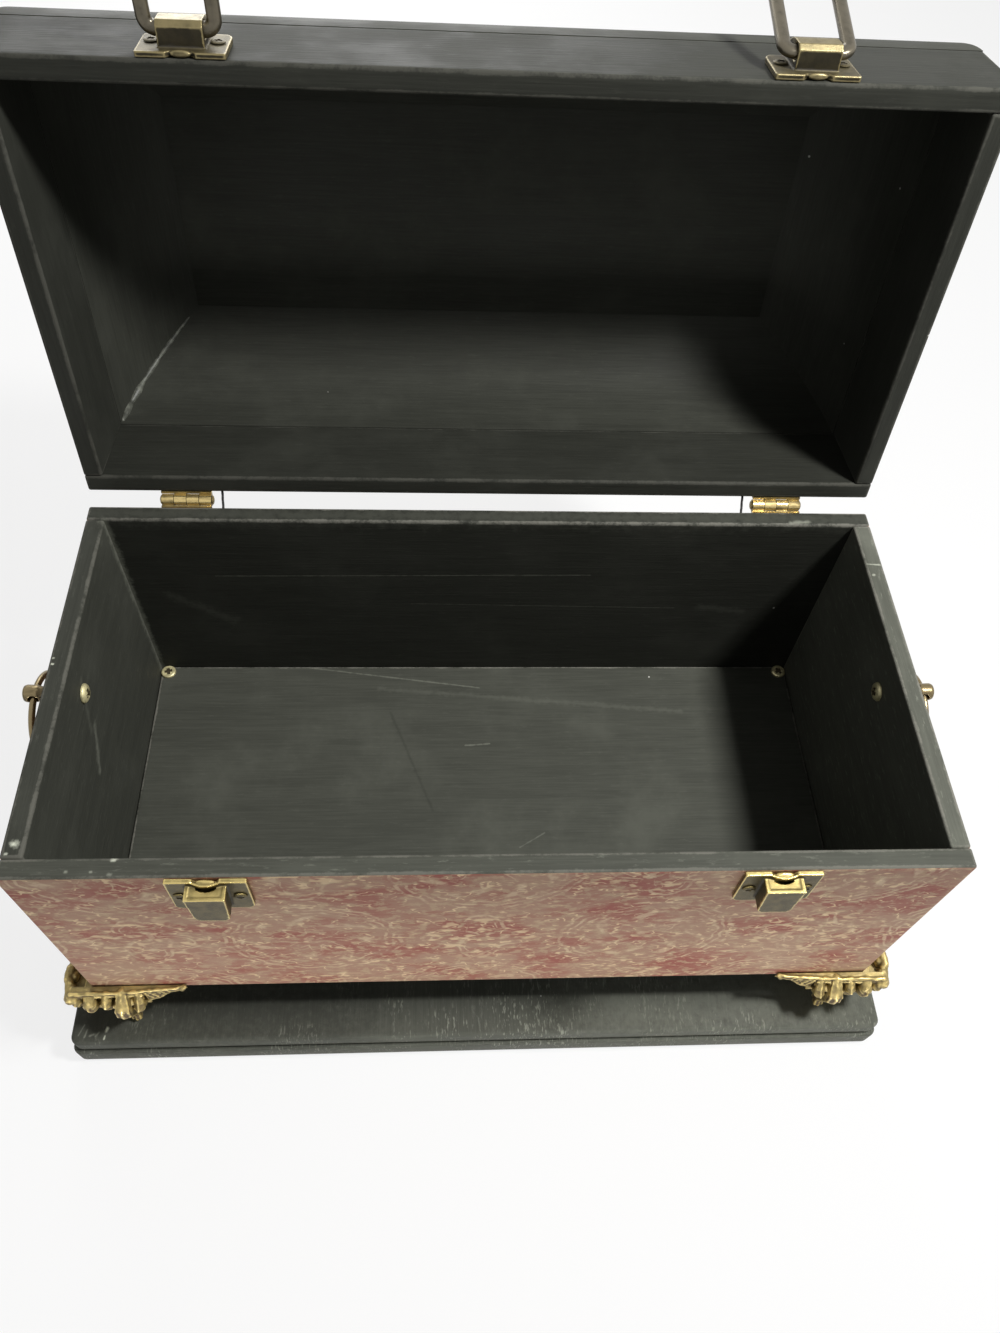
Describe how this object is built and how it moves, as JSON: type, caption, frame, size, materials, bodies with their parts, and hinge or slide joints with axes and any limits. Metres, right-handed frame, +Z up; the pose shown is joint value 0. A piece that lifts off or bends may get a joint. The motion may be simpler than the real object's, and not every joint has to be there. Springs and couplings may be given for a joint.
{
  "type": "hinged storage box",
  "caption": "Footed storage box on a stepped plinth, with a hipped hinged lid, swinging loop latches at the front and drop-ring handles on its ends, shown open.",
  "frame": {"origin": "middle of the plinth's underside, on the surface that the box stands on", "axes": "+Z up, -Y towards the front with the latches, +X to the right seen from the front"},
  "size_m": [0.4406, 0.3555, 0.449],
  "materials": {
    "black_paint": "satin",
    "red_covering": "matt",
    "gilding": "worn gilding",
    "aged_brass": "aged",
    "bright_brass": "satin",
    "cord_black": "matt"
  },
  "bodies": {
    "box": {"plinth_top_board": "black_paint", "plinth_lower_board": "black_paint", "floor_board": "black_paint", "foot_front_left": "gilding", "foot_front_right": "gilding", "foot_back_left": "gilding", "foot_back_right": "gilding", "wall_front": "red_covering", "wall_back": "red_covering", "wall_left": "red_covering", "wall_right": "red_covering", "hinge_left_box_leaf": "bright_brass", "hinge_left_pin": "bright_brass", "hinge_right_box_leaf": "bright_brass", "hinge_right_pin": "bright_brass", "latch_left_box_plate": "aged_brass", "latch_right_box_plate": "aged_brass", "handle_left_post": "aged_brass", "handle_left_screw": "bright_brass", "handle_right_post": "aged_brass", "handle_right_screw": "bright_brass", "floor_screw_front_left": "bright_brass", "floor_screw_front_right": "bright_brass", "floor_screw_back_left": "bright_brass", "floor_screw_back_right": "bright_brass", "latch_screw_box_left_outer": "aged_brass", "latch_screw_box_left_inner": "aged_brass", "latch_screw_box_right_outer": "aged_brass", "latch_screw_box_right_inner": "aged_brass", "hinge_screw_box_left_outer": "bright_brass", "hinge_screw_box_left_inner": "bright_brass", "hinge_screw_box_right_outer": "bright_brass", "hinge_screw_box_right_inner": "bright_brass", "stay_cord_left": "cord_black", "stay_cord_right": "cord_black"},
    "lid": {"lid_rail_front": "black_paint", "lid_rail_back": "black_paint", "lid_rail_left": "black_paint", "lid_rail_right": "black_paint", "lid_cove_front": "red_covering", "lid_cove_back": "red_covering", "lid_cove_left": "red_covering", "lid_cove_right": "red_covering", "lid_top_panel": "red_covering", "hinge_left_lid_leaf": "bright_brass", "hinge_right_lid_leaf": "bright_brass", "latch_left_lid_plate": "aged_brass", "latch_right_lid_plate": "aged_brass", "latch_screw_lid_left_outer": "aged_brass", "latch_screw_lid_left_inner": "aged_brass", "latch_screw_lid_right_outer": "aged_brass", "latch_screw_lid_right_inner": "aged_brass", "hinge_screw_lid_left_outer": "bright_brass", "hinge_screw_lid_left_inner": "bright_brass", "hinge_screw_lid_right_outer": "bright_brass", "hinge_screw_lid_right_inner": "bright_brass"},
    "left_loop": {"latch_left_loop": "aged_brass"},
    "right_loop": {"latch_right_loop": "aged_brass"},
    "left_ring": {"handle_left_ring": "aged_brass"},
    "right_ring": {"handle_right_ring": "aged_brass"}
  },
  "joints": [
    {"name": "lid_hinge", "type": "hinge", "parent": "box", "child": "lid", "pos_m": [0, 0.1044, 0.2026], "axis": [-1, 0, 0], "range_deg": [-98.3, 0], "deforming": ["stay_cord_left", "stay_cord_right"]},
    {"name": "left_loop_swing", "type": "hinge", "parent": "lid", "child": "left_loop", "pos_m": [-0.1188, 0.14403, 0.40843], "axis": [1, 0, 0], "range_deg": [-95, 84.7]},
    {"name": "right_loop_swing", "type": "hinge", "parent": "lid", "child": "right_loop", "pos_m": [0.1188, 0.14403, 0.40843], "axis": [1, 0, 0], "range_deg": [-21, 158.7]},
    {"name": "left_ring_swing", "type": "hinge", "parent": "box", "child": "left_ring", "pos_m": [-0.213, 0.0025, 0.1796], "axis": [0, 1, 0], "range_deg": [-12, 95]},
    {"name": "right_ring_swing", "type": "hinge", "parent": "box", "child": "right_ring", "pos_m": [0.213, 0.0025, 0.1796], "axis": [0, -1, 0], "range_deg": [-12, 95]}
  ]
}
